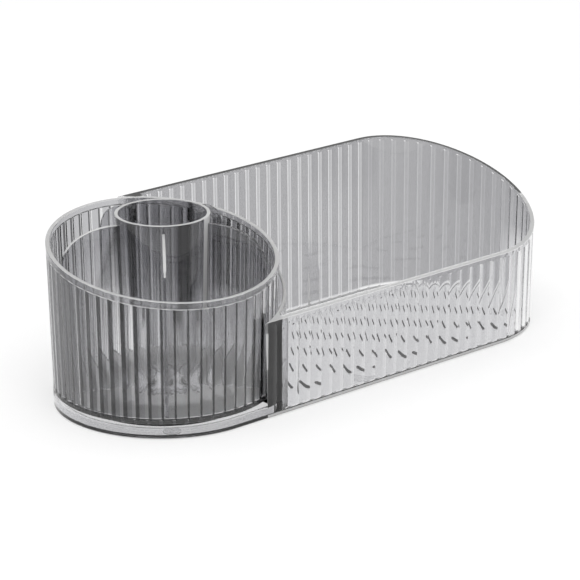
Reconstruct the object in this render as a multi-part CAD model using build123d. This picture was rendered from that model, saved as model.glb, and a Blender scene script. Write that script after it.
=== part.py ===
from build123d import *
from math import cos, degrees, pi, radians, sin, sqrt, tan
import os

# Rotating makeup organizer: a drained tray with a slanted reeded wall, and a
# brush cup that turns on a ball bearing at the left end.
# X runs along the tray, Y to the back, Z up. Millimetres.

# Tray outline: two half circles joined by straight walls
base_radius = 62.0
centre_distance = 204.6
tray_draft = 0.7
tray_front_height = 56.5
tray_back_height = 100.0
wall = 2.5
floor_thickness = 1.7
foot_height = 0.5
low_rim_height = 6.7

# Reeds: V-shaped grooves leave convex reeds between them
reed_pitch = 8.25
first_groove = 5.7
groove_share = 0.5
groove_depth = 0.65
groove_foot_band = 2.0
tray_rim_band = 2.5

# Drain slots in the tray floor, in staggered rows
slot_length = 16.4
slot_width = 3.8
slot_pitch = 37.25
slot_row_pitch = 20.0
slot_side_rows = 2
slot_margin = 4.0
slot_end_offset = 14.6

# Smooth arched pad low on the inside of the back wall
pad_width = 9.4
pad_height = 27.0
pad_proud = 0.8
pad_offset = 39.0

# Turning cup
cup_gap = 2.1
cup_draft = 1.5
cup_mid_height = 88.5
cup_slant = 10.4
cup_high_side = 81.0
cup_wall = 2.5
cup_floor = 2.4
cup_clearance = 1.4
cup_reed_count = 55
cup_rim_band = 3.6
cup_groove_angle = -131.0

# Divider insert: a tube with radial fins
tube_top_radius = 26.3
tube_height = 109.0
tube_draft = 1.5
tube_wall = 2.0
fin_count = 5
fin_angle = -128.0
fin_thickness = 1.7
fin_wall_gap = 1.8
fin_top_drop = 4.4
fin_shoulder_share = 0.9
fin_shoulder_drop = 18.0
tube_rib_width = 1.5
tube_rib_height = 2.0
tube_rib_clearance = 0.2

# Ball bearing between the dish and the cup
track_inset = 19.0
ball_diameter = 4.0
ball_count = 20
ball_clearance = 0.1
race_width = 9.0
race_gap = 1.4
cage_width = 7.0
cage_thickness = 0.8
race_rib_width = 1.5
race_rib_height = 1.5
race_rib_clearance = 0.15

# Pivot on the turning axis
boss_radius = 6.0
boss_gap = 0.5
thread_radius = 2.0
thread_length = 5.8
thread_clearance = 0.05
shoulder_radius = 4.0
shoulder_clearance = 0.06
bush_wall = 2.4
bush_flange_radius = 8.5
bush_flange = 0.8
washer_radius = 7.5
washer_thickness = 0.8
washer_gap = 0.15
head_radius = 6.5
head_height = 2.4
head_recess_width = 1.2
head_recess_length = 7.0
head_recess_depth = 1.2
cap_wall = 1.3
cap_clearance = 0.6

# Foot pads
foot_radius = 5.0
foot_inset = 10.0
foot_angle = 35.0

# All cuts run past their faces by this much
overrun = 5.0

# Levels and shared radii
floor_top = foot_height + floor_thickness
cup_bottom = low_rim_height + cup_gap
cup_floor_top = cup_bottom + cup_floor
boss_top = cup_bottom - boss_gap
bush_top = cup_floor_top + bush_flange
head_bottom = bush_top + washer_thickness + 2 * washer_gap
ball_level = (floor_top + cup_bottom) / 2
race_height = (cup_bottom - floor_top - race_gap) / 2
track_radius = base_radius - track_inset
fin_reach = base_radius - cup_wall - fin_wall_gap
fin_shoulder_run = fin_shoulder_share * (fin_reach - tube_top_radius)
cup_rise = base_radius * tan(radians(cup_slant))
tray_slope = (tray_back_height - tray_front_height) / (2 * base_radius)
tray_mid_height = (tray_front_height + tray_back_height) / 2


def tray_spread(z):
    return z * tan(radians(tray_draft))


def cup_radius(z):
    return base_radius + (z - cup_bottom) * tan(radians(cup_draft))


# Plan: the overall box is centred on the origin
cup_top = cup_mid_height + cup_rise
cup_zone_radius = cup_radius(cup_top) + cup_clearance
left_reach = cup_radius(cup_mid_height)
right_reach = base_radius + tray_spread(tray_mid_height)
cup_x = (left_reach - right_reach - centre_distance) / 2
end_x = cup_x + centre_distance
mid_x = (cup_x + end_x) / 2
tray_length = end_x - cup_x + 2 * base_radius
cup_place = Location((cup_x, 0, 0))


def standing(shape, z):
    return Location((0, 0, z)) * shape


def pillar(radius, low, high):
    upright = Cylinder(radius, high - low, align=(Align.CENTER, Align.CENTER, Align.MIN))
    return standing(upright, low)


def frustum(low_radius, high_radius, low, high):
    upright = Cone(low_radius, high_radius, high - low, align=(Align.CENTER, Align.CENTER, Align.MIN))
    return standing(upright, low)


def ring(inner, outer, low, high):
    return pillar(outer, low, high) - pillar(inner, low - overrun, high + overrun)


def oblong(inset, low, high):
    # Tapered oblong between two levels, inset from the outer wall
    foot = SlotCenterToCenter(centre_distance, 2 * (base_radius - inset + tray_spread(low)))
    upright = extrude(foot, amount=high - low, taper=-tray_draft)
    return Location((mid_x, 0, low)) * upright


def rim_height(y):
    return tray_mid_height + tray_slope * y


def above_slope(mid_height, slope, reach):
    # Everything above a plane that rises towards +Y
    low = mid_height - slope * reach
    high = mid_height + slope * reach
    side = Polyline((-reach, low), (reach, high), (reach, high + reach), (-reach, high + reach), close=True)
    return extrude(Plane.YZ * make_face(side), amount=reach, both=True)


def groove(x, y, heading, draft, low, high, width):
    # One V-shaped groove in a wall whose outward normal points along heading
    outward = Vector(cos(radians(heading)), sin(radians(heading)), 0)
    along = Vector(-outward.Y, outward.X, 0)
    rise = outward * sin(radians(draft)) + Vector(0, 0, cos(radians(draft)))
    length = (high - low) / cos(radians(draft))
    section = Polyline((0, groove_depth), (width, -groove_depth), (-width, -groove_depth), close=True)
    cutter = extrude(make_face(section), amount=length)
    return Plane(origin=(x, y, low), x_dir=along, z_dir=rise) * cutter


def wall_place(mark, radius):
    # Place and heading on the tray wall, by the distance along it from the front of the round end
    arc = pi * base_radius
    if mark < 0:
        return end_x + mark, -radius, -90
    if mark > arc:
        return end_x + arc - mark, radius, 90
    heading = -90 + degrees(mark / base_radius)
    return end_x + radius * cos(radians(heading)), radius * sin(radians(heading)), heading


def tray_grooves():
    width = reed_pitch * groove_share
    low = foot_height + groove_foot_band
    radius = base_radius + tray_spread(low)
    corner_run = sqrt(cup_zone_radius**2 - base_radius**2)
    straight = centre_distance - corner_run - wall - width
    last = pi * base_radius + straight
    mark = first_groove - reed_pitch * int((straight + first_groove) / reed_pitch)
    cutters = []
    while mark < last:
        x, y, heading = wall_place(mark, radius)
        cutters.append(groove(x, y, heading, tray_draft, low, rim_height(y) - tray_rim_band, width))
        mark += reed_pitch
    return cutters


def drain_slots():
    cutters = []
    for row in range(-slot_side_rows, slot_side_rows + 1):
        y = row * slot_row_pitch
        ends = slot_margin + slot_length / 2
        low_x = cup_x + sqrt(max((cup_zone_radius + wall)**2 - y**2, 0)) + ends
        high_x = end_x + sqrt(max((base_radius - wall)**2 - y**2, 0)) - ends
        x = end_x + slot_end_offset + (row % 2) * slot_pitch / 2
        while x >= low_x:
            if x <= high_x:
                slot = extrude(SlotOverall(slot_length, slot_width), amount=floor_thickness + 2 * overrun)
                cutters.append(Location((x, y, foot_height - overrun)) * slot)
            x -= slot_pitch
    return cutters


def arched_pad():
    # Rectangle under a half circle, set into the back wall's inner face
    straight = pad_height - pad_width / 2
    face = Rectangle(pad_width, straight, align=(Align.CENTER, Align.MIN))
    face += Location((0, straight)) * Circle(pad_width / 2)
    pad = extrude(face, amount=wall / 2 + pad_proud)
    inner = base_radius - wall + tray_spread(floor_top)
    place = Plane(origin=(end_x - pad_offset, inner + wall / 2, floor_top), x_dir=(1, 0, 0), z_dir=(0, -1, 0))
    return place * pad


def make_tray_body():
    top = tray_back_height + overrun
    body = oblong(0, foot_height, top)
    body -= above_slope(tray_mid_height, tray_slope, tray_length)
    zone = cup_place * pillar(cup_zone_radius, low_rim_height, top + overrun)
    body -= zone
    inside = oblong(wall, floor_top, top + overrun)
    tray_side = inside - cup_place * pillar(cup_zone_radius + wall, floor_top - overrun, top + 2 * overrun)
    dish_side = inside & cup_place * pillar(cup_zone_radius, floor_top, low_rim_height + overrun)
    body -= tray_side
    body -= dish_side
    body += arched_pad()
    rib_outer = track_radius - race_width / 2 - race_rib_clearance
    body += cup_place * ring(rib_outer - race_rib_width, rib_outer, floor_top, floor_top + race_rib_height)
    body += cup_place * pillar(boss_radius, floor_top, boss_top)
    body -= cup_place * pillar(thread_radius + thread_clearance, boss_top - thread_length, boss_top + overrun)
    return body - tray_grooves() - drain_slots()


def cup_rim_height(heading):
    # The rim plane's height over the cup's outer wall
    return cup_mid_height + cup_rise * cos(radians(heading - cup_high_side))


def cup_grooves():
    pitch = 2 * pi * base_radius / cup_reed_count
    low = cup_bottom + groove_foot_band
    radius = cup_radius(low)
    cutters = []
    for step in range(cup_reed_count):
        heading = cup_groove_angle + step * 360 / cup_reed_count
        x = radius * cos(radians(heading))
        y = radius * sin(radians(heading))
        high = cup_rim_height(heading) - cup_rim_band
        cutters.append(groove(x, y, heading, cup_draft, low, high, pitch * groove_share))
    return cutters


def tube_radius(z):
    return tube_top_radius - (tube_height - z) * tan(radians(tube_draft))


def make_cup_shell():
    top = cup_top + overrun
    cup = frustum(base_radius, cup_radius(top), cup_bottom, top)
    cup -= frustum(cup_radius(cup_floor_top) - cup_wall, cup_radius(top) - cup_wall, cup_floor_top, top)
    slope = tan(radians(cup_slant))
    cup -= Rotation(0, 0, cup_high_side - 90) * above_slope(cup_mid_height, slope, tray_length)
    rib_outer = track_radius - race_width / 2 - race_rib_clearance
    cup += ring(rib_outer - race_rib_width, rib_outer, cup_bottom - race_rib_height, cup_bottom)
    locator = tube_radius(cup_floor_top) - tube_wall - tube_rib_clearance
    cup += ring(locator - tube_rib_width, locator, cup_floor_top, cup_floor_top + tube_rib_height)
    bush_radius = shoulder_radius + shoulder_clearance + bush_wall
    cup -= pillar(bush_radius, cup_bottom - overrun, cup_floor_top + overrun)
    return cup_place * (cup - cup_grooves())


def divider_fin():
    # Profile in the radius and height plane, with a rounded outer shoulder
    top = tube_height - fin_top_drop
    start = tube_radius(cup_floor_top) - tube_wall / 2
    turn = fin_reach - fin_shoulder_run
    shoulder = top - fin_shoulder_drop
    crown = EllipticalCenterArc((turn, shoulder), fin_shoulder_run, fin_shoulder_drop, start_angle=0, arc_size=90)
    sides = Polyline((turn, top), (start, top), (start, cup_floor_top), (fin_reach, cup_floor_top), (fin_reach, shoulder))
    face = make_face(crown + sides)
    return extrude(Plane.XZ * face, amount=fin_thickness / 2, both=True)


def make_divider_insert():
    foot = tube_radius(cup_floor_top)
    insert = frustum(foot, tube_top_radius, cup_floor_top, tube_height)
    fin = divider_fin()
    for step in range(fin_count):
        insert += Rotation(0, 0, fin_angle + step * 360 / fin_count) * fin
    fall = overrun * tan(radians(tube_draft))
    bore_foot = foot - tube_wall - fall
    bore_top = tube_top_radius - tube_wall + fall
    insert -= frustum(bore_foot, bore_top, cup_floor_top - overrun, tube_height + overrun)
    return cup_place * insert


def make_race(low):
    body = ring(track_radius - race_width / 2, track_radius + race_width / 2, low, low + race_height)
    track = standing(Torus(track_radius, ball_diameter / 2 + ball_clearance), ball_level)
    return cup_place * (body - track)


def ball_angles():
    return [step * 360 / ball_count for step in range(ball_count)]


def make_ball_cage():
    low = ball_level - cage_thickness / 2
    cage = ring(track_radius - cage_width / 2, track_radius + cage_width / 2, low, low + cage_thickness)
    pocket = pillar(ball_diameter / 2 + ball_clearance, low - overrun, low + cage_thickness + overrun)
    pockets = [Rotation(0, 0, angle) * Location((track_radius, 0, 0)) * pocket for angle in ball_angles()]
    return cup_place * (cage - pockets)


def make_bearing_balls():
    ball = Sphere(ball_diameter / 2)
    place = Location((track_radius, 0, ball_level))
    return Compound(children=[cup_place * Rotation(0, 0, angle) * place * ball for angle in ball_angles()])


def make_pivot_screw():
    thread = pillar(thread_radius, boss_top - thread_length, boss_top)
    shoulder = pillar(shoulder_radius, boss_top, head_bottom)
    head = pillar(head_radius, head_bottom, head_bottom + head_height)
    arm = Box(head_recess_length, head_recess_width, 2 * head_recess_depth)
    cross = arm + Rotation(0, 0, 90) * arm
    return cup_place * (thread + shoulder + head - standing(cross, head_bottom + head_height))


def make_pivot_washer():
    low = bush_top + washer_gap
    return cup_place * ring(shoulder_radius + shoulder_clearance, washer_radius, low, low + washer_thickness)


def make_pivot_bush():
    bore = shoulder_radius + shoulder_clearance
    sleeve = pillar(bore + bush_wall, cup_bottom, bush_top)
    flange = pillar(bush_flange_radius, cup_floor_top, bush_top)
    return cup_place * (sleeve + flange - pillar(bore, cup_bottom - overrun, bush_top + overrun))


def make_pivot_cap():
    inner = max(bush_flange_radius, head_radius) + cap_clearance
    ceiling = head_bottom + head_height + cap_clearance
    cap = pillar(inner + cap_wall, cup_floor_top, ceiling + cap_wall)
    return cup_place * (cap - pillar(inner, cup_floor_top - overrun, ceiling))


def make_foot(x, heading):
    reach = base_radius - foot_inset
    place = Location((x + reach * cos(radians(heading)), reach * sin(radians(heading)), 0))
    return place * pillar(foot_radius, 0, foot_height)


nodes = {
    "tray_body": make_tray_body(),
    "cup_shell": make_cup_shell(),
    "divider_insert": make_divider_insert(),
    "lower_race": make_race(floor_top),
    "upper_race": make_race(cup_bottom - race_height),
    "ball_cage": make_ball_cage(),
    "bearing_balls": make_bearing_balls(),
    "pivot_screw": make_pivot_screw(),
    "pivot_washer": make_pivot_washer(),
    "pivot_bush": make_pivot_bush(),
    "pivot_cap": make_pivot_cap(),
    "foot_cup_front": make_foot(cup_x, -90 - foot_angle),
    "foot_cup_back": make_foot(cup_x, 90 + foot_angle),
    "foot_middle_front": make_foot(mid_x, -90),
    "foot_middle_back": make_foot(mid_x, 90),
    "foot_end_front": make_foot(end_x, -foot_angle),
    "foot_end_back": make_foot(end_x, foot_angle),
}

os.makedirs("parts", exist_ok=True)
for name, shape in nodes.items():
    export_step(shape, f"parts/{name}.step")
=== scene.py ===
import math

import bmesh
import bpy
import numpy as np
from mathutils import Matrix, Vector


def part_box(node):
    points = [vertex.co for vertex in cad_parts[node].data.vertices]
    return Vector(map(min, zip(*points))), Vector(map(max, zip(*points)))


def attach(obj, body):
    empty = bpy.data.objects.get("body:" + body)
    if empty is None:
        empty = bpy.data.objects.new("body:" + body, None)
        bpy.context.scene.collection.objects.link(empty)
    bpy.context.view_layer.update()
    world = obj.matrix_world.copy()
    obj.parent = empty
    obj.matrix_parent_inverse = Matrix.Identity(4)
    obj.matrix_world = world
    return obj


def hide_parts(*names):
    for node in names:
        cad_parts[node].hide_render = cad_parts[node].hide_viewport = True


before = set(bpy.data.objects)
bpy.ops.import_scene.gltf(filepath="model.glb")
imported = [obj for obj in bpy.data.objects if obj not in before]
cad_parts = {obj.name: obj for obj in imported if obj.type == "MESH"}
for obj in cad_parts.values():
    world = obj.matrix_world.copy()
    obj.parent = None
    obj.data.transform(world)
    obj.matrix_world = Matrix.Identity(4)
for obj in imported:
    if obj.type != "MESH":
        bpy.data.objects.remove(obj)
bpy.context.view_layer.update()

mm = 0.001
scene = bpy.context.scene
scene.view_settings.view_transform = "Standard"
scene.cycles.max_bounces = 40
scene.cycles.transmission_bounces = 36
scene.cycles.glossy_bounces = 12
scene.cycles.transparent_max_bounces = 16
print("frame loaded")

# Where the turning axis and the tray's underside are, from the solids
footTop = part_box("tray_body")[0][2]
bushLow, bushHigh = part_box("pivot_bush")
cupX = (bushLow[0] + bushHigh[0]) / 2


# Shader sockets as values
class Wire:
    def __init__(self, tree, socket):
        self.tree, self.socket = tree, socket

    def join(self, operation, first, second):
        node = self.tree.nodes.new("ShaderNodeMath")
        node.operation = operation
        for slot, value in zip(node.inputs, (first, second)):
            if isinstance(value, Wire):
                self.tree.links.new(value.socket, slot)
            else:
                slot.default_value = value
        return Wire(self.tree, node.outputs[0])

    def __add__(self, other):
        return self.join("ADD", self, other)

    def __radd__(self, other):
        return self.join("ADD", other, self)

    def __mul__(self, other):
        return self.join("MULTIPLY", self, other)

    def __rmul__(self, other):
        return self.join("MULTIPLY", other, self)


class Shader:
    def __init__(self, tree):
        self.tree = tree
        tree.nodes.clear()

    # One node: its settings first, then what goes into its sockets
    def node(self, kind, settings=None, inputs=None, output=0):
        made = self.tree.nodes.new(kind)
        for key, value in (settings or {}).items():
            setattr(made, key, value)
        for key, value in (inputs or {}).items():
            if isinstance(value, Wire):
                self.tree.links.new(value.socket, made.inputs[key])
            else:
                made.inputs[key].default_value = value
        return Wire(self.tree, made.outputs[output])

    # The Mix node's colour sockets are 6 and 7, and its colour result is 2
    def mix(self, factor, first, second):
        return self.node("ShaderNodeMix", {"data_type": "RGBA"}, {0: factor, 6: first, 7: second}, 2)

    def noise(self, scale, detail=3.0):
        where = self.node("ShaderNodeTexCoord", output="Object")
        return self.node("ShaderNodeTexNoise", None, {"Vector": where, "Scale": scale, "Detail": detail})

    def bump(self, height, strength, distance):
        return self.node("ShaderNodeBump", None, {
            "Height": height, "Strength": strength, "Distance": distance})

    # Two greys mixed by a fine grain, which also steers the roughness where it varies
    def grained(self, finish):
        grain = self.noise(finish["grain"])
        colour = self.mix(grain, grey(finish["dark"]), grey(finish["light"]))
        if "rough" in finish:
            return colour, finish["rough"]
        return colour, finish["roughLow"] + grain * (finish["roughHigh"] - finish["roughLow"])

    def principled(self, inputs):
        return self.node("ShaderNodeBsdfPrincipled", None, inputs)

    def finish(self, surface, volume=None, kind="ShaderNodeOutputMaterial"):
        made = self.tree.nodes.new(kind)
        self.tree.links.new(surface.socket, made.inputs["Surface"])
        if volume:
            self.tree.links.new(volume.socket, made.inputs["Volume"])


def newMaterial(name):
    material = bpy.data.materials.new(name)
    material.use_nodes = True
    return material, Shader(material.node_tree)


def grey(value):
    return (value, value, value, 1.0)


white = grey(1.0)


# Smoke-clear moulded plastic
smoke = {
    "ior": 1.53,
    "absorb": (0.50, 0.50, 0.53, 1.0),
    "density": 25.0,
    "cupShare": 1.6,  # the cup is this much deeper
    "cloud": 9.0,
    "cloudDepth": 0.02,
    "cloudGrey": 0.5,
    "roughLow": 0.004,
    "roughHigh": 0.02,
    "smudge": 60.0,
    "blue": 0.06,
    "ripple": 35.0,
    "rippleDepth": 0.00003,
}


def smokePlastic(name, density):
    material, shader = newMaterial(name)
    # The tint attribute holds the smoke colour with painted light and shade, painted highlights and painted
    # reflection strips
    tintAndPaintedLight = shader.node("ShaderNodeAttribute", {"attribute_name": "tintAndPaintedLight"}, None, "Color")
    cloud = shader.noise(smoke["cloud"]) * smoke["cloudDepth"]
    colour = shader.mix(cloud, tintAndPaintedLight, grey(smoke["cloudGrey"]))
    smudge = shader.noise(smoke["smudge"])
    rough = smoke["roughLow"] + smudge * (smoke["roughHigh"] - smoke["roughLow"])
    ripple = shader.bump(shader.noise(smoke["ripple"], detail=1.0), 1.0, smoke["rippleDepth"])
    surface = shader.principled({
        "Base Color": colour, "Roughness": rough, "IOR": smoke["ior"],
        "Transmission Weight": 1.0, "Normal": ripple})
    volume = shader.node("ShaderNodeVolumeAbsorption", None, {"Color": smoke["absorb"], "Density": density})
    shader.finish(surface, volume)
    return material


# Bearing rings, steel, milky plastic and soft feet
clear = {"light": 0.98, "dark": 0.94, "grain": 80.0, "rough": 0.03}
steel = {"light": 0.66, "dark": 0.5, "grain": 900.0, "roughLow": 0.1, "roughHigh": 0.25}
milky = {"light": 0.82, "dark": 0.72, "grain": 120.0, "roughLow": 0.3, "roughHigh": 0.5, "through": 0.6}
softPad = {"light": 0.98, "dark": 0.94, "grain": 300.0, "roughLow": 0.05, "roughHigh": 0.15,
           "pores": 0.5, "poreDepth": 0.00002, "ior": 1.41}
# Painted highlight: a lighter, partly clear finish on rims and edges, standing in for the light they catch
highlightGreys = {"light": 0.7, "dark": 0.58, "grain": 60.0, "rough": 0.2, "through": 0.4}
# Painted shade: a near-black finish on slot walls, the far rim's top, edges and dashes where shade falls
shadeGreys = {"light": 0.05, "dark": 0.02, "grain": 70.0, "rough": 0.35}


def clearPlastic():
    material, shader = newMaterial("clearPlastic")
    colour, rough = shader.grained(clear)
    shader.finish(shader.principled({
        "Base Color": colour, "Roughness": rough, "IOR": smoke["ior"], "Transmission Weight": 1.0}))
    return material


def paintedHighlight():
    material, shader = newMaterial("paintedHighlight")
    colour, rough = shader.grained(highlightGreys)
    shader.finish(shader.principled({
        "Base Color": colour, "Roughness": rough, "IOR": smoke["ior"],
        "Transmission Weight": highlightGreys["through"]}))
    return material


def paintedShade():
    material, shader = newMaterial("paintedShade")
    colour, rough = shader.grained(shadeGreys)
    shader.finish(shader.principled({"Base Color": colour, "Roughness": rough, "IOR": smoke["ior"]}))
    return material


def brightSteel():
    material, shader = newMaterial("brightSteel")
    colour, rough = shader.grained(steel)
    shader.finish(shader.principled({"Base Color": colour, "Metallic": 1.0, "Roughness": rough}))
    return material


def milkyPlastic():
    material, shader = newMaterial("milkyPlastic")
    colour, rough = shader.grained(milky)
    shader.finish(shader.principled({
        "Base Color": colour, "Roughness": rough, "Transmission Weight": milky["through"]}))
    return material


def softPads():
    material, shader = newMaterial("softPads")
    colour, rough = shader.grained(softPad)
    pores = shader.bump(shader.noise(softPad["grain"]), softPad["pores"], softPad["poreDepth"])
    shader.finish(shader.principled({
        "Base Color": colour, "Roughness": rough, "IOR": softPad["ior"],
        "Transmission Weight": 1.0, "Normal": pores}))
    return material


traySmoke = smokePlastic("traySmoke", smoke["density"])
cupSmoke = smokePlastic("cupSmoke", smoke["density"] * smoke["cupShare"])
ringClear = clearPlastic()
highlightFinish = paintedHighlight()
shadeFinish = paintedShade()
steelFinish = brightSteel()
milkyFinish = milkyPlastic()
padFinish = softPads()
print("finishes made")


# Mesh helpers
def asObject(name, points, faces):
    mesh = bpy.data.meshes.new(name)
    mesh.from_pydata([tuple(p) for p in points], [], faces)
    made = bpy.data.objects.new(name, mesh)
    scene.collection.objects.link(made)
    outward(made)
    return made


def outward(made):
    work = bmesh.new()
    work.from_mesh(made.data)
    bmesh.ops.recalc_face_normals(work, faces=work.faces)
    work.to_mesh(made.data)
    work.free()


# Rings of points joined by quads, capped, or closed into a loop
def skin(name, rings, loop=False):
    count = len(rings[0])
    points = np.concatenate(rings)
    faces = []
    last = len(rings) if loop else len(rings) - 1
    for row in range(last):
        low, high = row * count, (row + 1) % len(rings) * count
        for step in range(count):
            after = (step + 1) % count
            faces.append((low + step, low + after, high + after, high + step))
    if not loop:
        faces.append(tuple(range(count))[::-1])
        faces.append(tuple(range((len(rings) - 1) * count, len(rings) * count)))
    return asObject(name, points, faces)


def joined(name, pieces):
    work = bmesh.new()
    for piece in pieces:
        work.from_mesh(piece.data)
        bpy.data.objects.remove(piece)
    mesh = bpy.data.meshes.new(name)
    work.to_mesh(mesh)
    work.free()
    made = bpy.data.objects.new(name, mesh)
    scene.collection.objects.link(made)
    return made


def carve(target, tool, operation="DIFFERENCE"):
    step = target.modifiers.new("carve", "BOOLEAN")
    step.operation, step.solver, step.object = operation, "MANIFOLD", tool
    shown = target.evaluated_get(bpy.context.evaluated_depsgraph_get())
    target.data = bpy.data.meshes.new_from_object(shown)
    target.modifiers.clear()
    bpy.data.objects.remove(tool)


# Smooth shading with edges kept crisp past an angle, in radians
shading = {"crisp": 0.2, "weld": 1e-7}


def shade(made):
    work = bmesh.new()
    work.from_mesh(made.data)
    bmesh.ops.remove_doubles(work, verts=work.verts, dist=shading["weld"])
    bmesh.ops.dissolve_degenerate(work, edges=work.edges, dist=shading["weld"])
    bmesh.ops.recalc_face_normals(work, faces=work.faces)
    for face in work.faces:
        face.smooth = True
    for edge in work.edges:
        edge.smooth = len(edge.link_faces) == 2 and edge.calc_face_angle(0) < shading["crisp"]
    work.to_mesh(made.data)
    work.free()


# A shell's finish and shading, the body it rides on, and the solids it stands for; the slot argument is not
# used
def dress(made, material, body, slot, *nodes):
    made.data.materials.clear()
    made.data.materials.append(material)
    shade(made)
    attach(made, body)
    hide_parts(*nodes)


# The tray: outline, reeds, slanted rim and floor
tray = {
    "radius": 62 * mm,
    "span": 204.6 * mm,
    "draft": math.tan(math.radians(0.7)),
    "rimMid": 78.25 * mm,
    "rimSlope": 43.5 / 124,
    "wall": 2.5 * mm,
    "floorTop": 2.2 * mm,
    "lowRim": 6.7 * mm,
    "zone": 65.785 * mm,
    "edge": 0.45 * mm,
    "lift": 0.03 * mm,  # keeps touching faces from coinciding
    "pitch": 8.25 * mm,
    "firstGap": 5.7 * mm,
    "crest": (13 * mm, 24 * mm),  # front, back
    "crestShares": (0.42, 0.6),  # of the round end, where the crests change
    "reedFoot": 2.0 * mm,
    "rimBand": 2.5 * mm,
    "reedBlend": 0.5 * mm,
    "floorRound": 0.8 * mm,
    "mouthOver": 20 * mm,
    "topInset": 4.0 * mm,
    "cornerOut": (-0.5, -0.8),  # how the inside's front corner leans out with height
    "straightSteps": 40,
    "endSteps": 120,
    "zoneSteps": 240,
    "dishSteps": 160,
    "cornerSteps": 8,
}
slots = {"length": 16.8 * mm, "width": 4.4 * mm, "narrow": 1.3 * mm, "pitch": 37.25 * mm, "rows": 20 * mm,
         "endOffset": 14.6 * mm, "sideRows": 2, "margin": 4 * mm, "roundSteps": 8, "below": 2 * mm,
         "above": 0.5 * mm}
pad = {"width": 9.4 * mm, "height": 27 * mm, "proud": 0.5 * mm, "slope": 1 * mm, "offset": 39 * mm,
       "root": 1 * mm, "overlap": 0.02 * mm, "archSteps": 24}
dish = {"ribOuter": 38.35 * mm, "ribWidth": 1.5 * mm, "ribHeight": 1.5 * mm, "bossRadius": 6 * mm,
        "bossTop": 8.3 * mm, "holeRadius": 2.05 * mm, "holeDepth": 5.8 * mm, "inset": 0.3 * mm,
        "sink": 0.6 * mm, "over": 1 * mm, "ribSteps": 160, "bossSteps": 64, "holeSteps": 32}
endX = cupX + tray["span"]
padX = endX - pad["offset"]
padTop = tray["floorTop"] + pad["height"]
# How near a point counts as on a surface: under the reed crests, at a place, on a wall
slack = {"sunk": 0.005 * mm, "place": 0.1 * mm, "wall": 0.2 * mm}
rounding = {"steps": 3, "reedPoints": 32}


def rimHeight(y):
    return tray["rimMid"] + tray["rimSlope"] * y


# Drop and inset of each step around a quarter of a rounded edge, from its side to its top
def quarterRound(size):
    turns = [math.radians(90 * step / rounding["steps"]) for step in range(rounding["steps"] + 1)]
    return [(size * (1 - math.sin(turn)), size * (1 - math.cos(turn))) for turn in turns]


# Convex reeds: shares of a pitch, counted from a valley, where the outline has points
reedStops = np.arange(rounding["reedPoints"]) / rounding["reedPoints"]


# How deep the wall lies under the reed crests
def reedDip(along, pitch, crest):
    fromCrest = ((along / pitch) % 1 - 0.5) * pitch
    return crest - np.sqrt(crest**2 - fromCrest**2)


# One level of a table for each place across a reed: the first row whose share lies past it
def acrossReed(along, pitch, table):
    share = (along / pitch) % 1
    value = table[-1][1] + 0 * share
    for limit, level in table[-2::-1]:
        value = np.where(share < limit, level, value)
    return value


# Writes a tint with painted light and shade on every face corner and picks each face's finish: plain smoke,
# painted highlight or painted shade
# The rules get corner places with the middles and normals of their faces, or the middles and normals alone
def paint(made, rule, litRule):
    mesh = made.data
    where = np.empty(len(mesh.vertices) * 3)
    mesh.vertices.foreach_get("co", where)
    corners = np.empty(len(mesh.loops), dtype=int)
    mesh.loops.foreach_get("vertex_index", corners)
    sizes = np.empty(len(mesh.polygons), dtype=int)
    mesh.polygons.foreach_get("loop_total", sizes)
    middles, normals = np.empty(len(sizes) * 3), np.empty(len(sizes) * 3)
    mesh.polygons.foreach_get("center", middles)
    mesh.polygons.foreach_get("normal", normals)
    middles, normals = middles.reshape(-1, 3), normals.reshape(-1, 3)
    owner = np.repeat(np.arange(len(sizes)), sizes)
    tintsAndPaintedLight = rule(where.reshape(-1, 3)[corners], middles[owner], normals[owner])
    blue = np.clip(tintsAndPaintedLight + smoke["blue"] * tintsAndPaintedLight * (1 - tintsAndPaintedLight), 0, 1)
    colours = np.stack([tintsAndPaintedLight, tintsAndPaintedLight, blue, np.ones(len(tintsAndPaintedLight))], 1)
    layer = mesh.attributes.new("tintAndPaintedLight", "FLOAT_COLOR", "CORNER")
    layer.data.foreach_set("color", colours.ravel())
    mesh.materials.append(highlightFinish)
    mesh.materials.append(shadeFinish)
    mesh.polygons.foreach_set("material_index", litRule(middles, normals).astype(np.int32))


# Rises smoothly from zero at low to one at high
def blendOver(value, low, high):
    share = np.clip((value - low) / (high - low), 0, 1)
    return share * share * (3 - 2 * share)


# Plan points along an arc about a centre, with their outward directions
def arcPoints(centreX, radius, fromAngle, toAngle, steps):
    angles = np.radians(np.linspace(fromAngle, toAngle, steps + 1))
    facing = np.stack([np.cos(angles), np.sin(angles)], 1)
    return np.column_stack([facing * radius + (centreX, 0.0), facing])


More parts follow.
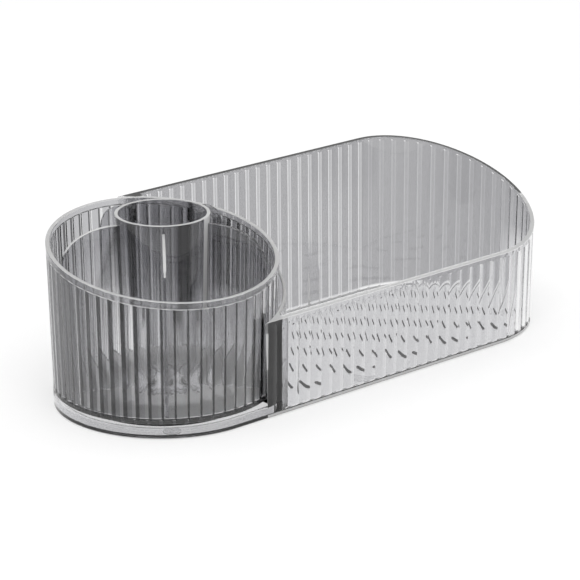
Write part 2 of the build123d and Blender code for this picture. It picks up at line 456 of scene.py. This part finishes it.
# Outline columns: place, outward direction and dip, around the whole oblong
def trayColumns():
    radius, span = tray["radius"], tray["span"]
    pitch, firstGap = tray["pitch"], tray["firstGap"]
    arc = math.pi * radius
    corner = math.sqrt(tray["zone"]**2 - radius**2)
    straight = span - corner
    marks = []
    turn = -math.ceil(straight / pitch) - 2  # starts before the front corner
    while turn * pitch + firstGap < arc + straight:
        marks += [(turn + stop) * pitch + firstGap for stop in reedStops]
        turn += 1
    first, last = tray["wall"] - straight, arc + straight - tray["wall"]
    marks = [-straight, first] + [mark for mark in marks if first < mark < last] + [last, arc + straight]
    near, far = tray["crest"]
    columns = []
    for mark in marks:
        dip = 0.0
        if first < mark < last:
            crest = near + (far - near) * blendOver(mark / arc, *tray["crestShares"])
            dip = reedDip(mark - firstGap, pitch, crest)
        if mark < 0:
            columns.append((endX + mark, -radius, 0.0, -1.0, dip))
        elif mark > arc:
            columns.append((endX - (mark - arc), radius, 0.0, 1.0, dip))
        else:
            angle = mark / radius - math.pi / 2
            columns.append((endX + radius * math.cos(angle), radius * math.sin(angle),
                            math.cos(angle), math.sin(angle), dip))
    steps = tray["cornerSteps"]
    for step in range(1, steps):
        columns.append((cupX + corner * (1 - step / steps), radius, 0.0, 1.0, 0.0))
    columns += [(*column, 0.0) for column in arcPoints(cupX, radius, 90, 270, tray["dishSteps"])]
    for step in range(1, steps):
        columns.append((cupX + corner * step / steps, -radius, 0.0, -1.0, 0.0))
    return np.array(columns)


# A ring of outline columns at given heights, grown along their outward directions
def columnRing(columns, heights, draft, grow):
    heights = heights + np.zeros(len(columns))
    spread = heights * draft + grow
    return np.column_stack([columns[:, :2] + columns[:, 2:4] * spread[:, None], heights])


def trayBlock():
    columns = trayColumns()
    dips = columns[:, 4]
    rim = rimHeight(columns[:, 1])
    edge, blend = tray["edge"], tray["reedBlend"]
    reedLow = footTop + tray["reedFoot"]
    reedTop = rim - tray["rimBand"]
    levels = [(footTop + tray["lift"], edge), (footTop + edge, 0.0), (reedLow, 0.0)]
    levels += [(reedLow + blend, dips), (trayTintsAndLight["footFrom"], dips), (trayTintsAndLight["footTo"], dips)]
    levels += [(padTop, dips), (trayTintsAndLight["glowRing"], dips), (reedTop - blend, dips), (reedTop, 0.0)]
    levels += [(rim - drop, inset) for drop, inset in quarterRound(edge)]
    across = tray["topInset"]
    levels.append((rim - tray["rimSlope"] * columns[:, 3] * across, edge + across))
    rings = [columnRing(columns, heights, tray["draft"], -depths) for heights, depths in levels]
    return skin("tray_shell", rings)


# A cutter with a flared mouth at the slanted rim
def rimCutter(name, outline, low, draft, floorRound=0.0):
    columns = np.array(outline)
    rim = rimHeight(columns[:, 1])
    edge = tray["edge"]
    levels = [(low, 0.0)]
    if floorRound:
        levels = [(low + inset, -drop) for drop, inset in quarterRound(floorRound)]
    levels += [(rim - drop, inset) for drop, inset in quarterRound(edge)]
    levels.append((rim + tray["mouthOver"], edge))
    return skin(name, [columnRing(columns, heights, draft, grow) for heights, grow in levels])


# The tray's inside: straight walls, the round end, and the concave wall beside the cup
def trayInside():
    inner = tray["radius"] - tray["wall"]
    back = tray["zone"] + tray["wall"]
    reach = math.degrees(math.asin(inner / back))
    corner = back * math.cos(math.radians(reach))
    front = [(cupX + corner, -inner, *tray["cornerOut"])]
    steps = tray["straightSteps"]
    front += [(cupX + corner + (tray["span"] - corner) * step / steps, -inner, 0.0, -1.0)
              for step in range(1, steps)]
    end = list(arcPoints(endX, inner, -90, 90, tray["endSteps"]))
    rear = [(x, -y, nx, -ny) for x, y, nx, ny in front[::-1]]
    beside = arcPoints(cupX, back, reach, -reach, tray["endSteps"])[1:-1]
    concave = [(x, y, -nx, -ny) for x, y, nx, ny in beside]
    outline = front + end + rear + concave
    return rimCutter("trayInside", outline, tray["floorTop"], tray["draft"], tray["floorRound"])


# The cup's round clearance above the low rim
def cupZone():
    outline = arcPoints(cupX, tray["zone"], 0, 360, tray["zoneSteps"])[:-1]
    return rimCutter("cupZone", outline, tray["lowRim"], 0.0)


def dishHollow():
    inner = tray["radius"] - tray["wall"]
    wide = tray["zone"] - dish["inset"]
    reach = math.degrees(math.asin(inner / wide))
    left = arcPoints(cupX, inner, 90, 270, tray["endSteps"])
    right = arcPoints(cupX, wide, -reach, reach, tray["endSteps"])
    plan = np.concatenate([left, right])
    levels = (tray["floorTop"], tray["lowRim"] + dish["over"])
    return skin("dishHollow", [columnRing(plan, height, 0.0, 0.0) for height in levels])


def drainSlots():
    cutters = []
    ends = slots["margin"] + slots["length"] / 2
    half = (slots["length"] - slots["width"]) / 2
    levels = ((footTop - slots["below"], -slots["narrow"]), (footTop, -slots["narrow"]),
              (tray["floorTop"], 0.0), (tray["floorTop"] + slots["above"], 0.0))
    for row in range(-slots["sideRows"], slots["sideRows"] + 1):
        y = row * slots["rows"]
        low = cupX + math.sqrt((tray["zone"] + tray["wall"])**2 - y**2) + ends
        high = endX + math.sqrt((tray["radius"] - tray["wall"])**2 - y**2) - ends
        x = endX + slots["endOffset"] + (row % 2) * slots["pitch"] / 2
        while x >= low:
            if x <= high:
                right = arcPoints(x + half, slots["width"] / 2, -90, 90, slots["roundSteps"])
                left = arcPoints(x - half, slots["width"] / 2, 90, 270, slots["roundSteps"])
                outline = np.concatenate([right, left])
                outline[:, 1] += y
                rings = [columnRing(outline, height, 0.0, grow) for height, grow in levels]
                cutters.append(skin("slot", rings))
            x -= slots["pitch"]
    return joined("drainSlots", cutters)


# Rings of a profile of radii and heights turned about the cup's axis
def turned(profile, steps):
    angles = np.linspace(0, 2 * math.pi, steps, endpoint=False)
    across, shaded = np.cos(angles), np.sin(angles)
    return [np.stack([cupX + r * across, r * shaded, np.full(steps, z)], 1) for r, z in profile]


# Ring and boss that stand on the dish floor
def dishStand():
    low, top = tray["floorTop"] - dish["sink"], tray["floorTop"] + dish["ribHeight"]
    outer, inner = dish["ribOuter"], dish["ribOuter"] - dish["ribWidth"]
    ribProfile = [(inner, low), (outer, low), (outer, top), (inner, top)]
    bossProfile = [(dish["bossRadius"], low), (dish["bossRadius"], dish["bossTop"])]
    rib = skin("rib", turned(ribProfile, dish["ribSteps"]), True)
    boss = skin("boss", turned(bossProfile, dish["bossSteps"]))
    return joined("dishStand", [rib, boss])


def screwHole():
    low, high = dish["bossTop"] - dish["holeDepth"], dish["bossTop"] + dish["over"]
    profile = [(dish["holeRadius"], low), (dish["holeRadius"], high)]
    return skin("screwHole", turned(profile, dish["holeSteps"]))


def archedPad():
    half, root = pad["width"] / 2, pad["root"]
    straight = pad["height"] - half
    angles = np.linspace(0, math.pi, pad["archSteps"] + 1)
    arch = [(half * math.cos(a), straight + half * math.sin(a)) for a in angles]
    outline = [(half, -root)] + arch + [(-half, -root)]
    inner = tray["radius"] - tray["wall"]
    rings = []
    for depth, shrink in ((-pad["proud"], pad["slope"]), (-pad["overlap"], 0.0), (root, 0.0)):
        scale = 1 - shrink / half
        rings.append(np.array([(padX + u * scale, inner + (w + tray["floorTop"]) * tray["draft"] + depth,
                                w * scale + tray["floorTop"]) for u, w in outline]))
    return skin("archedPad", rings)


# Painted light and shade in the tints: lighter in front, painted shade on the far wall, painted highlight
# lines across the reeds, a painted glow on the round end
trayTintsAndLight = {
    "plain": 0.88,
    "dish": 0.6,
    "reed": (0.74, 0.17),  # front, back
    "gap": (0.80, 0.33),
    "line": (0.88, 0.56),
    "bright": (0.95, 0.95),
    "reedShares": (0.015, 0.675, 0.735, 0.965, 1.0),  # where bright, reed, line, gap, bright end
    "roundShare": 0.2,  # strength of the strips on the round end
    "roundTo": 0.97,  # of the half turn, where the strips come back
    # Painted glow on the round end
    "glow": 0.98,
    "glowIn": (-89, -72),  # degrees around the round end
    "glowOut": (-25, 5),
    "glowWhole": -41,  # up to here over the whole height
    "glowTop": (40 * mm, 52 * mm),
    "glowRing": 50 * mm,  # height of a ring of points that ends it
    "fadeFrom": -54 * mm,  # from front to back across the tray
    "fadeTo": -34 * mm,
    # Painted light: the foot of the walls is painted paler
    "footShare": 0.55,  # how much the back wall's foot pales
    "footFrom": 3.2 * mm,
    "footTo": 4.5 * mm,
    "upright": 0.5,  # limit of a wall's normal
    "dishOver": 1.05,  # of the low rim's height
}


def trayTintAndLight(points, middles, normals):
    x, y, z = points.T
    radius = tray["radius"]
    turn = np.arctan2(y, x - endX) + math.pi / 2
    along = np.where(x > endX, turn * radius, np.where(y < 0, x - endX, math.pi * radius + endX - x))
    # Painted shade deepens the tints from the front to the far wall
    fade = blendOver(y, trayTintsAndLight["fadeFrom"], trayTintsAndLight["fadeTo"])
    reed, gap, line, bright = [near + (far - near) * fade for near, far in
                               (trayTintsAndLight[key] for key in ("reed", "gap", "line", "bright"))]
    # Strips fade on the round end and behind the arched pad
    pastEnd = blendOver(along / radius, math.pi * trayTintsAndLight["roundTo"], math.pi)
    share = 1 - (1 - trayTintsAndLight["roundShare"]) * fade * (1 - pastEnd)
    behindPad = (np.abs(x - padX) < pad["width"] / 2) & (y > 0) & (z < padTop + slack["place"])
    share = np.where(behindPad, 0.0, share)
    gap, line, bright = [reed + (level - reed) * share for level in (gap, line, bright)]
    away = np.where(x > endX, np.hypot(x - endX, y), np.abs(y))
    sunk = radius + z * tray["draft"] - away
    # Painted highlight lines and painted shade across each reed
    table = list(zip(trayTintsAndLight["reedShares"], (bright, reed, line, gap, bright)))
    reeds = acrossReed(along - tray["firstGap"], tray["pitch"], table)
    reeds = np.where(sunk > slack["sunk"], reeds, reed)
    # Painted light: the foot of the walls is painted paler, the straight back wall's by a share
    foot = np.where((x < endX) & (y > 0), trayTintsAndLight["footShare"], 1.0)
    reeds = reeds + (1 - reeds) * foot * (1 - blendOver(z, trayTintsAndLight["footFrom"], trayTintsAndLight["footTo"]))
    # Painted glow: the end that stands edge-on is painted palest
    upright = np.abs(normals[:, 2]) < trayTintsAndLight["upright"]
    angle = np.where(x > endX, np.degrees(turn) - 90, np.where(y < 0, -90.0, 90.0))
    glow = blendOver(angle, *trayTintsAndLight["glowIn"]) * (1 - blendOver(angle, *trayTintsAndLight["glowOut"]))
    glow = glow * np.where(angle < trayTintsAndLight["glowWhole"], 1.0, 1 - blendOver(z, *trayTintsAndLight["glowTop"]))
    reeds = reeds + np.maximum(trayTintsAndLight["glow"] - reeds, 0) * glow
    plain = trayTintsAndLight["plain"] + (trayTintsAndLight["glow"] - trayTintsAndLight["plain"]) * glow * upright
    fromCup = np.hypot(x - cupX, y)
    pastCup = fromCup > tray["zone"] + tray["wall"] / 2
    outerWall = upright & pastCup & (middles[:, 2] > tray["floorTop"]) & (sunk < tray["wall"] / 2)
    dishWall = ~pastCup & upright & (fromCup > radius - tray["wall"] / 2)
    dishWall &= z < tray["lowRim"] * trayTintsAndLight["dishOver"]
    plain = np.where(dishWall, trayTintsAndLight["dish"], plain)
    return np.where(outerWall, reeds, plain)


# What decides a face's mark
trayMarks = {
    "rimDepth": 1.2,  # of the rounded edge
    "upward": 0.3,  # limits of the normal
    "top": 0.97,
    "upright": 0.3,
    "underside": -0.95,
    "slotSide": 0.8,
    "padSide": 0.95,
    "litTo": -0.3,  # shares of the radius
    "litBack": 0.95,
    "straightAt": -0.98,
    "straightFrom": 0.4,
    "post": (-70, -57.5),  # degrees around the cup
    "padOver": 1 * mm,
    "padIn": 4 * mm,
    "slotIn": 3.75 * mm,
}


# Marks for the finishes: 1 for a painted highlight, 2 for painted shade, 0 for plain smoke
def trayLit(middles, normals):
    x, y, z = middles.T
    radius, zone, wall, edge = [tray[key] for key in ("radius", "zone", "wall", "edge")]
    fromCup = np.hypot(x - cupX, y)
    outside = np.where(x > endX, (x - endX) * normals[:, 0] + y * normals[:, 1], y * normals[:, 1]) > 0
    # The rim: painted highlight in front and beside the cup, painted shade on top where it is far
    upward = normals @ (np.array([0, -tray["rimSlope"], 1]) / math.hypot(1, tray["rimSlope"]))
    nearRim = z > rimHeight(y) - edge * trayMarks["rimDepth"]
    facesUp = upward > trayMarks["upward"]
    besideCup = facesUp & (fromCup < zone + wall) & (y < trayMarks["litBack"] * radius)
    front = (y < trayMarks["litTo"] * radius) | (fromCup <= zone + edge) | besideCup
    lit = nearRim & facesUp & front
    dark = nearRim & ~front & (upward > trayMarks["top"])
    # Painted highlight on the plain band at the foot
    band = outside & (np.abs(normals[:, 2]) < trayMarks["upright"]) & (fromCup > zone)
    lit |= band & (z > footTop + edge) & (z < footTop + tray["reedFoot"])
    # The concave wall at the front corner: a painted light line beside a painted dark post
    aside = np.degrees(np.arctan2(y, x - cupX))
    facing = (np.abs(fromCup - zone) < slack["wall"]) & (z > tray["lowRim"])
    postFrom, postTo = trayMarks["post"]
    lit |= facing & (aside < postFrom)
    dark |= facing & (aside > postFrom) & (aside < postTo)
    # The bottom edge: painted shade along the straight front, painted highlight elsewhere
    bottomEdge = outside & (z < footTop + edge) & (normals[:, 2] > trayMarks["underside"])
    straight = (y < trayMarks["straightAt"] * radius) & (x > cupX + trayMarks["straightFrom"] * radius)
    lit |= bottomEdge & ~straight
    dark |= bottomEdge & straight
    # Painted highlight on the arched pad's sloped sides
    over = trayMarks["padOver"]
    onPad = (np.abs(x - padX) < pad["width"] / 2 + over) & (y > radius - trayMarks["padIn"]) & ~outside
    onPad &= (z > tray["floorTop"] + over) & (z < padTop + over)
    lit |= onPad & (np.abs(normals[:, 1]) < trayMarks["padSide"])
    # Painted shade on the walls of the slots
    inside = np.where(x > endX, np.hypot(x - endX, y), np.abs(y)) < radius - trayMarks["slotIn"]
    slotWall = inside & (fromCup > zone + wall) & (z < tray["floorTop"])
    dark |= slotWall & (np.abs(normals[:, 2]) < trayMarks["slotSide"])
    return np.where(dark, 2, lit)


def makeTray():
    body = trayBlock()
    carve(body, cupZone())
    carve(body, trayInside())
    carve(body, dishHollow())
    carve(body, archedPad(), "UNION")
    carve(body, dishStand(), "UNION")
    carve(body, screwHole())
    carve(body, drainSlots())
    dress(body, traySmoke, "base", "smoke_clear", "tray_body")
    paint(body, trayTintAndLight, trayLit)


# The turning cup, one closed skin around its axis
cup = {
    "radius": 62 * mm,
    "bottom": 8.8 * mm,
    "floorTop": 11.2 * mm,
    "draft": math.tan(math.radians(1.5)),
    "rimMid": 88.5 * mm,
    "rise": 62 * mm * math.tan(math.radians(10.4)),
    "highSide": math.radians(81),
    "wall": 2.5 * mm,
    "reeds": 55,
    "gapAngle": math.radians(-131),
    "crest": 11 * mm,
    "reedFoot": 2.0 * mm,
    "rimBand": 3.6 * mm,
    "reedBlend": 0.5 * mm,
    "edge": 0.5 * mm,
    "floorRound": 1 * mm,
    "holeRadius": 6.46 * mm,
    "ribOuter": 38.35 * mm,
    "ribWidth": 1.5 * mm,
    "ribHeight": 1.5 * mm,
    "locatorWidth": 1.5 * mm,
    "locatorHeight": 2.0 * mm,
    "locatorGap": 0.2 * mm,
}
tube = {"topRadius": 26.3 * mm, "top": 109 * mm, "draft": math.tan(math.radians(1.5)), "wall": 2 * mm,
        "edge": 0.5 * mm, "steps": 160, "over": 5 * mm}
fins = {"count": 5, "angle": -128.0, "thickness": 1.7 * mm, "wallGap": 1.8 * mm, "topDrop": 4.4 * mm,
        "shoulderShare": 0.9, "shoulderDrop": 18 * mm, "edge": 0.35 * mm, "steps": 40}


def tubeRadius(z):
    return tube["topRadius"] - (tube["top"] - z) * tube["draft"]


def cupRim(angles):
    return cup["rimMid"] + cup["rise"] * np.cos(angles - cup["highSide"])


# The cup's tints with painted light: a painted shaded side and a painted light side, painted dark and
# bright lines between the reeds, painted dark dashes at the foot
cupTintsAndLight = {
    "plain": 0.84,
    "reed": 0.42,
    "lowReed": 1.0,
    "dark": 0.03,
    "bright": 1.0,
    "reedShares": (0.04, 0.19, 0.8, 1.0),  # where bright, dark, reed, bright end
    "wider": 0.27,  # wider dark lines on their side
    "shadedReed": ((0.02, 1.0), (0.5, 0.0), (0.87, 0.12), (1.0, 1.0)),  # share, level
    "footReed": ((0.15, 0.9), (0.87, 0.02), (1.0, 0.9)),
    "footTo": 0.8,  # of the plain foot
    "shadedSide": (-3, 60),  # middle angle, half width
    "lightSide": (-95, 80),
    "lineSide": (165, 75),
    "shadeFrom": 40 * mm,
    "shadeTo": 50 * mm,
    "below": -0.9,  # limits of a wall's normal
    "above": 0.5,
}


# One near an angle in degrees, falling to zero a half width away
def nearAngle(around, middle, half):
    return 1 - blendOver(np.abs((around - middle + 180) % 360 - 180), half / 2, half)


def cupTintAndLight(points, middles, normals):
    x, y, z = points.T
    pitch = 2 * math.pi * cup["radius"] / cup["reeds"]
    along = (np.arctan2(y, x - cupX) - cup["gapAngle"]) * cup["radius"]
    sunk = cup["radius"] + (z - cup["bottom"]) * cup["draft"] - np.hypot(x - cupX, y)
    around = np.degrees(np.arctan2(y, x - cupX))
    upper = blendOver(z, cupTintsAndLight["shadeFrom"], cupTintsAndLight["shadeTo"])
    light, lines, shadedShare = [nearAngle(around, *cupTintsAndLight[key])
                               for key in ("lightSide", "lineSide", "shadedSide")]
    pale, reed = cupTintsAndLight["lowReed"], cupTintsAndLight["reed"]
    # Painted light and shade on the reeds: darker up high except on the light side, and low down only on
    # the side of the wider dark lines; painted bright and dark lines between them
    reed = pale + (reed - pale) * (upper * (1 - light) + (1 - upper) * lines)
    dark, bright = cupTintsAndLight["dark"], cupTintsAndLight["bright"]
    brightTo, darkTo, reedTo, whole = cupTintsAndLight["reedShares"]
    darkTo = darkTo + cupTintsAndLight["wider"] * lines
    reeds = acrossReed(along, pitch, ((brightTo, bright), (darkTo, dark), (reedTo, reed), (whole, bright)))
    # Painted shade: black strips across the reeds on the shaded side, up high
    shaded = acrossReed(along, pitch, cupTintsAndLight["shadedReed"])
    reeds = reeds + (shaded - reeds) * shadedShare * upper
    reeds = np.where(sunk > slack["sunk"], reeds, reed)
    # Painted shade: dark dashes at the foot
    foot = acrossReed(along, pitch, cupTintsAndLight["footReed"])
    reeds = np.where(z < cup["bottom"] + cup["reedFoot"] * cupTintsAndLight["footTo"], foot, reeds)
    outerWall = (normals[:, 2] > cupTintsAndLight["below"]) & (normals[:, 2] < cupTintsAndLight["above"])
    return np.where(outerWall & (sunk < cup["wall"] / 2), reeds, cupTintsAndLight["plain"])


# The divider's tints, darker towards the top as painted shade, and painted shade and painted highlight
# bands around the tube: middle angle, half width, level
dividerTintsAndLight = {
    "tube": (0.98, 0.55),  # below, top
    "fin": (1.0, 0.55),
    "fadeFrom": 55 * mm,
    "fadeBand": 8 * mm,
    "bandFrom": 54 * mm,
}
tubePaintedBands = ((52, 54, 0.85), (-103, 12, 0.03), (162, 8.4, 0.03), (-172, 6, 0.03), (-72, 10.8, 1.0),
             (-2, 10.8, 1.0), (13, 6, 0.02), (92, 9.6, 0.03))


def dividerTintAndLight(points, middles, normals):
    x, y, z = points.T
    around = np.degrees(np.arctan2(y, x - cupX))
    away = np.hypot(x - cupX, y)
    onTube = (away < tubeRadius(z) + slack["place"]) & (away > tubeRadius(z) - tube["wall"] / 2)
    low, high = dividerTintsAndLight["tube"]
    start = dividerTintsAndLight["fadeFrom"]
    tintsAndPaintedLight = low + (high - low) * np.clip((z - start) / (tube["top"] - start), 0, 1)
    # Painted shade and painted highlight bands up high
    banded = z > dividerTintsAndLight["bandFrom"]
    for middle, half, level in tubePaintedBands:
        tintsAndPaintedLight = tintsAndPaintedLight + (level - tintsAndPaintedLight) * nearAngle(around, middle, half) * banded
    low, high = dividerTintsAndLight["fin"]
    start = cup["floorTop"]
    fin = low + (high - low) * np.clip((z - start) / (tube["top"] - start), 0, 1)
    return np.where(onTube, tintsAndPaintedLight, fin)


# What decides a cup face's mark: share of the rounded edge, limits of its normal, and share of a reed
cupMarks = {"rimDepth": 1.2, "rimUp": 0.6, "floorUp": 0.9, "dash": (0.15, 0.85)}


# Painted highlight on the rim and reed tops, the same lighter finish on the floor so it looks frosted;
# painted shade in dashes at the foot
def cupLit(middles, normals):
    x, y, z = middles.T
    angles = np.arctan2(y, x - cupX)
    away = np.hypot(x - cupX, y)
    rim = cupRim(angles)
    blend = cup["reedBlend"] / 2
    reedTop = np.abs(z - rim + cup["rimBand"] + blend) < blend
    floor = (np.abs(z - cup["floorTop"]) < slack["place"]) & (normals[:, 2] > cupMarks["floorUp"])
    lit = (z > rim - cup["edge"] * cupMarks["rimDepth"]) & (normals[:, 2] > cupMarks["rimUp"])
    lit |= reedTop | (floor & (away > tube["topRadius"]))
    share = (angles - cup["gapAngle"]) / (2 * math.pi / cup["reeds"]) % 1
    dashFrom, dashTo = cupMarks["dash"]
    foot = (z < cup["bottom"] + cup["reedFoot"]) & (away > cup["radius"] - cup["edge"])
    return np.where(foot & (share >= dashFrom) & (share < dashTo), 2, lit)


# The same for the divider: degrees from the front fin and around the cup, normals, and depths from the top
dividerMarks = {"nearFin": 25, "farSide": 140, "up": 0.3, "rimDepth": 1 * mm, "finDepth": 26.8 * mm,
                "outward": 0.9, "shine": (-70, -50)}


# Painted highlights on the tube's rim, the tops of the fins that show, and a strip up the tube
def dividerLit(middles, normals):
    x, y, z = middles.T
    around = np.degrees(np.arctan2(y, x - cupX))
    away = np.hypot(x - cupX, y)
    shown = np.abs(around - fins["angle"]) < dividerMarks["nearFin"]
    shown |= np.abs(around) > dividerMarks["farSide"]
    shown |= z > tube["top"] - dividerMarks["rimDepth"]
    lit = shown & (normals[:, 2] > dividerMarks["up"]) & (z > tube["top"] - dividerMarks["finDepth"])
    outer = normals[:, 0] * (x - cupX) + normals[:, 1] * y > dividerMarks["outward"] * away
    outer &= np.abs(away - tubeRadius(z)) < slack["wall"]
    stripFrom, stripTo = dividerMarks["shine"]
    strip = (z > dividerTintsAndLight["fadeFrom"]) & (around > stripFrom) & (around < stripTo)
    return lit | (outer & strip)


def makeCup():
    pitch = 2 * math.pi * cup["radius"] / cup["reeds"]
    along = np.array([(turn + stop) * pitch for turn in range(cup["reeds"]) for stop in reedStops])
    angles = cup["gapAngle"] + along / cup["radius"]
    dips = reedDip(along, pitch, cup["crest"])
    rim = cupRim(angles)

    def ring(radius, heights):
        heights = heights + np.zeros(len(angles))
        return np.stack([cupX + radius * np.cos(angles), radius * np.sin(angles), heights], 1)

    def wallRing(heights, depths):
        return ring(cup["radius"] + (heights - cup["bottom"]) * cup["draft"] - depths, heights)

    low, floor, wall = cup["bottom"], cup["floorTop"], cup["wall"]
    edge, blend = cup["edge"], cup["reedBlend"]
    hole, ribOuter = cup["holeRadius"], cup["ribOuter"]
    ribInner, ribLow = ribOuter - cup["ribWidth"], low - cup["ribHeight"]
    rings = [ring(hole, low), ring(ribInner, low), ring(ribInner, ribLow)]
    rings += [ring(ribOuter, ribLow), ring(ribOuter, low)]
    reedLow, reedTop = low + cup["reedFoot"], rim - cup["rimBand"]
    levels = [(low, edge), (low + edge, 0), (reedLow, 0)]
    levels += [(reedLow + blend, dips), (cupTintsAndLight["shadeFrom"], dips), (cupTintsAndLight["shadeTo"], dips)]
    levels += [(reedTop - blend, dips), (reedTop, 0)]
    levels += [(rim - drop, inset) for drop, inset in quarterRound(edge)]
    levels += [(rim - drop, wall - inset) for drop, inset in quarterRound(edge)[::-1]]
    levels += [(floor + drop, wall + inset) for drop, inset in quarterRound(cup["floorRound"])]
    rings += [wallRing(heights, depths) for heights, depths in levels]
    locator = tubeRadius(floor) - tube["wall"] - cup["locatorGap"]
    locatorIn, locatorTop = locator - cup["locatorWidth"], floor + cup["locatorHeight"]
    rings += [ring(locator, floor), ring(locator, locatorTop)]
    rings += [ring(locatorIn, locatorTop), ring(locatorIn, floor), ring(hole, floor)]
    shell = skin("brush_cup", rings, True)
    dress(shell, cupSmoke, "cup", "smoke_clear", "cup_shell")
    paint(shell, cupTintAndLight, cupLit)


def dividerFin(angle):
    low, top = cup["floorTop"] + tray["lift"], tube["top"] - fins["topDrop"]
    reach = cup["radius"] - cup["wall"] - fins["wallGap"]
    run = fins["shoulderShare"] * (reach - tube["topRadius"])
    start = tubeRadius(low) - tube["wall"] / 2
    outline = [(start, low), (reach, low)]
    for step in range(fins["steps"] + 1):
        lean = math.pi / 2 * step / fins["steps"]
        drop = fins["shoulderDrop"] * (1 - math.sin(lean))
        outline.append((reach - run + run * math.cos(lean), top - drop))
    outline.append((start, top))
    plan = np.array(outline)
    half, edge = fins["thickness"] / 2, fins["edge"]
    forward = np.array([math.cos(angle), math.sin(angle)])
    side = np.array([-forward[1], forward[0]])
    rings = []
    for offset, shrink in ((-half, edge), (edge - half, 0.0), (half - edge, 0.0), (half, edge)):
        shape = plan.copy()
        shape[:, 0] -= shrink * (plan[:, 0] > start)
        shape[:, 1] -= shrink * (plan[:, 1] > low + edge)
        places = np.outer(shape[:, 0], forward) + offset * side + (cupX, 0.0)
        rings.append(np.column_stack([places, shape[:, 1]]))
    return skin("fin", rings)


# The tube, its fins, and the bore cut last so that it stays clear
def makeDivider():
    low, top, edge, wall = cup["floorTop"] + tray["lift"], tube["top"], tube["edge"], tube["wall"]
    bandTop = dividerTintsAndLight["fadeFrom"]
    bandLow = bandTop - dividerTintsAndLight["fadeBand"]
    outer = [(tubeRadius(z), z) for z in (low, bandLow, bandTop)]
    outer += [(tubeRadius(top) - inset, top - drop) for drop, inset in quarterRound(edge)]
    body = skin("brush_divider", turned(outer, tube["steps"]))
    for step in range(fins["count"]):
        angle = math.radians(fins["angle"] + step * 360 / fins["count"])
        carve(body, dividerFin(angle), "UNION")
    inner = [(tubeRadius(z) - wall, z) for z in (low - tube["over"], bandLow, bandTop)]
    inner += [(tubeRadius(top) - wall + inset, top - drop) for drop, inset in quarterRound(edge)]
    inner.append((inner[-1][0], top + tube["over"]))
    carve(body, skin("bore", turned(inner, tube["steps"])))
    dress(body, cupSmoke, "cup", "smoke_clear", "divider_insert")
    paint(body, dividerTintAndLight, dividerLit)


makeTray()
print("tray shell made")
makeCup()
makeDivider()
print("cup and divider made")

# The solids that stay, with their finishes
finishes = {
    "lower_race": ringClear, "upper_race": ringClear, "pivot_cap": ringClear,
    "ball_cage": milkyFinish, "pivot_bush": milkyFinish,
    "bearing_balls": steelFinish, "pivot_screw": steelFinish, "pivot_washer": steelFinish,
}
for name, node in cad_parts.items():
    if name.startswith("foot_"):
        finishes[name] = padFinish
    if name in finishes:
        node.data.materials.clear()
        node.data.materials.append(finishes[name])
print("bearing and feet finished")

# White table and surround
studio = {
    "tableSize": 6.0,
    "shadowShare": 0.55,
    "skyStrength": 1.0,
    "keyPower": 6.0,
    "keySize": 0.9,
    "keyPlace": (-0.5, -0.6, 1.2),
}
whiteTop = {"light": 0.95, "dark": 0.93, "grain": 40.0, "rough": 0.9}


# The table glows white in reflections and through the plastic; seen directly it keeps part of the shadow
def makeTable():
    half, under = studio["tableSize"] / 2, -tray["lift"]
    corners = [(-half, -half, under), (half, -half, under), (half, half, under), (-half, half, under)]
    table = asObject("table", corners, [(0, 1, 2, 3)])
    material, shader = newMaterial("whiteTable")
    colour, rough = shader.grained(whiteTop)
    lit = shader.principled({"Base Color": colour, "Roughness": rough})
    glow = shader.node("ShaderNodeEmission", None, {"Color": white, "Strength": 1.0})
    camera, gloss, through = [shader.node("ShaderNodeLightPath", output="Is " + ray + " Ray")
                              for ray in ("Camera", "Glossy", "Transmission")]
    share = camera * (1 - studio["shadowShare"]) + gloss + through
    shader.finish(shader.node("ShaderNodeMixShader", None, {0: share, 1: lit, 2: glow}))
    table.data.materials.append(material)


def makeSurround():
    world = bpy.data.worlds.new("surround")
    scene.world = world
    world.use_nodes = True
    shader = Shader(world.node_tree)
    light = shader.node("ShaderNodeBackground", None, {"Color": white, "Strength": studio["skyStrength"]})
    shader.finish(light, kind="ShaderNodeOutputWorld")


def makeLamp():
    data = bpy.data.lights.new("keyLamp", "AREA")
    data.energy, data.size = studio["keyPower"], studio["keySize"]
    lamp = bpy.data.objects.new("keyLamp", data)
    lamp.location = studio["keyPlace"]
    lamp.rotation_euler = (-Vector(studio["keyPlace"])).to_track_quat("-Z", "Y").to_euler()
    scene.collection.objects.link(lamp)


# Long lens, low three-quarter view from the cup's side
view = {"azimuth": 41.602, "elevation": 18.731, "aim": (-0.0085, 0.0, 0.04308), "distance": 1.56576,
        "lens": 168.974, "sensor": 36.0, "clipStart": 0.01, "clipEnd": 50.0}


def makeCamera():
    around, up = math.radians(view["azimuth"]), math.radians(view["elevation"])
    forward = Vector((math.sin(around) * math.cos(up), math.cos(around) * math.cos(up), -math.sin(up)))
    data = bpy.data.cameras.new("camera")
    data.lens, data.sensor_width = view["lens"], view["sensor"]
    data.clip_start, data.clip_end = view["clipStart"], view["clipEnd"]
    camera = bpy.data.objects.new("camera", data)
    camera.location = Vector(view["aim"]) - forward * view["distance"]
    camera.rotation_euler = forward.to_track_quat("-Z", "Y").to_euler()
    scene.collection.objects.link(camera)
    scene.camera = camera


makeTable()
makeSurround()
makeLamp()
makeCamera()
print("studio set")
